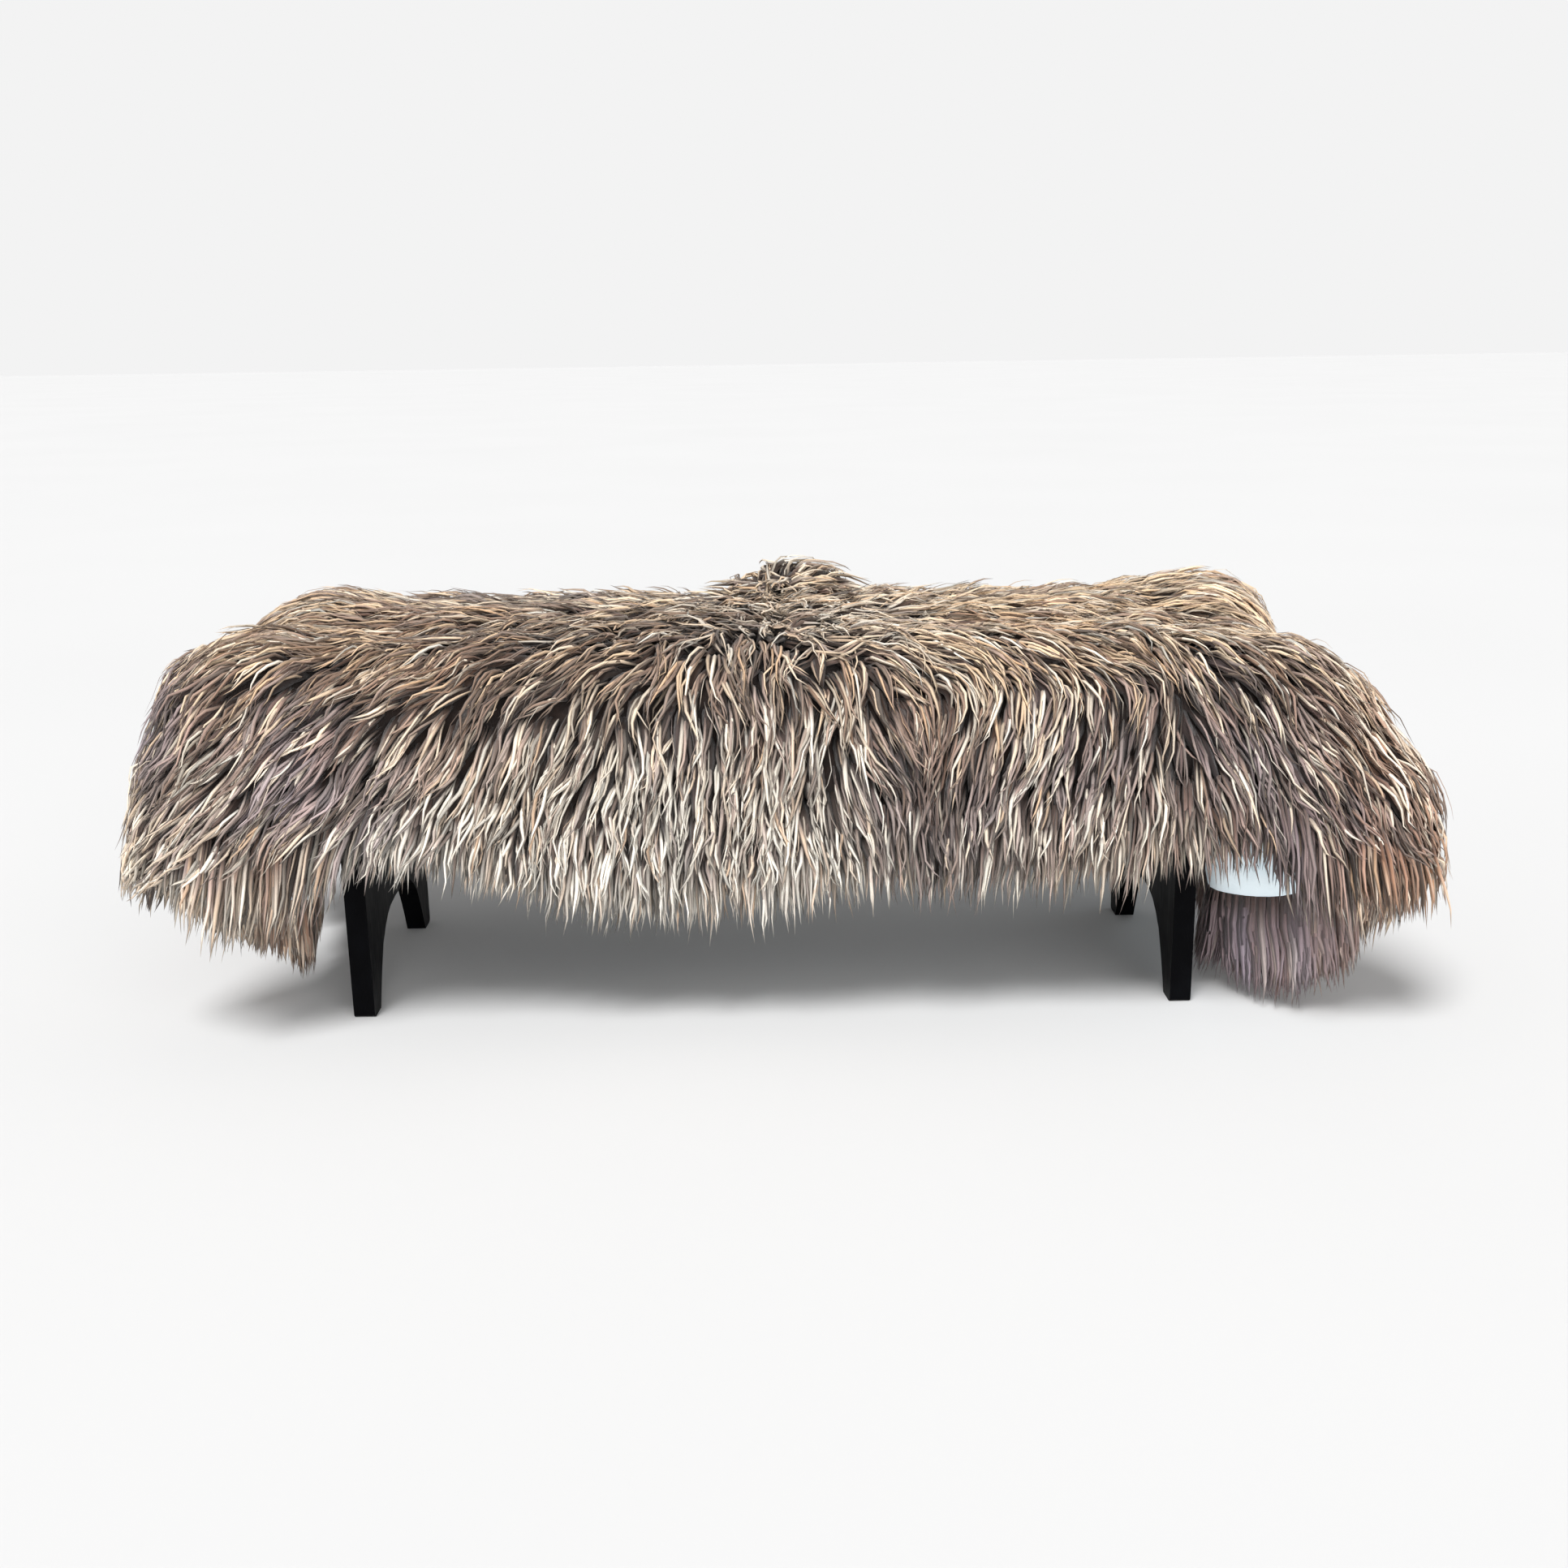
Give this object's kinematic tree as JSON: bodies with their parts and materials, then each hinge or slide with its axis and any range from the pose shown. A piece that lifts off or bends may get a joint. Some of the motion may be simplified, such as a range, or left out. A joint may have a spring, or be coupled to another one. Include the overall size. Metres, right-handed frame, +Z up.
{
  "type": "double sheepskin rug on a bench",
  "caption": "Long-wool sheepskin rug of joined pelts, draped lengthwise over a low bench with arched end panels, its hem and corners hanging in loose locks.",
  "frame": {"origin": "on the floor, under the middle of the whole object's bounding box", "axes": "+X along the bench to the viewer's right in the picture, +Y to the back, +Z up"},
  "size_m": [1.6473, 0.6969, 0.5517],
  "materials": {
    "black_paint": "satin black paint on wood",
    "brown_wool": "long brown-grey wool on a pale tanned hide",
    "pale_wool_tips": "loose wool locks with sun-bleached tips"
  },
  "bodies": {
    "root": {"bench_seat": "black_paint", "bench_end_left": "black_paint", "bench_end_right": "black_paint", "pelt_left": "brown_wool", "pelt_right": "brown_wool", "rim_left_front": "pale_wool_tips", "rim_left_front_horn": "pale_wool_tips", "rim_left_front_horn_inner": "pale_wool_tips", "rim_left_end": "pale_wool_tips", "rim_left_back_horn_inner": "pale_wool_tips", "rim_left_back_horn": "pale_wool_tips", "rim_left_back": "pale_wool_tips", "rim_right_front": "pale_wool_tips", "rim_right_front_horn": "pale_wool_tips", "rim_right_front_horn_inner": "pale_wool_tips", "rim_right_end": "pale_wool_tips", "rim_right_back_horn_inner": "pale_wool_tips", "rim_right_back_horn": "pale_wool_tips", "rim_right_back": "pale_wool_tips"}
  },
  "joints": []
}
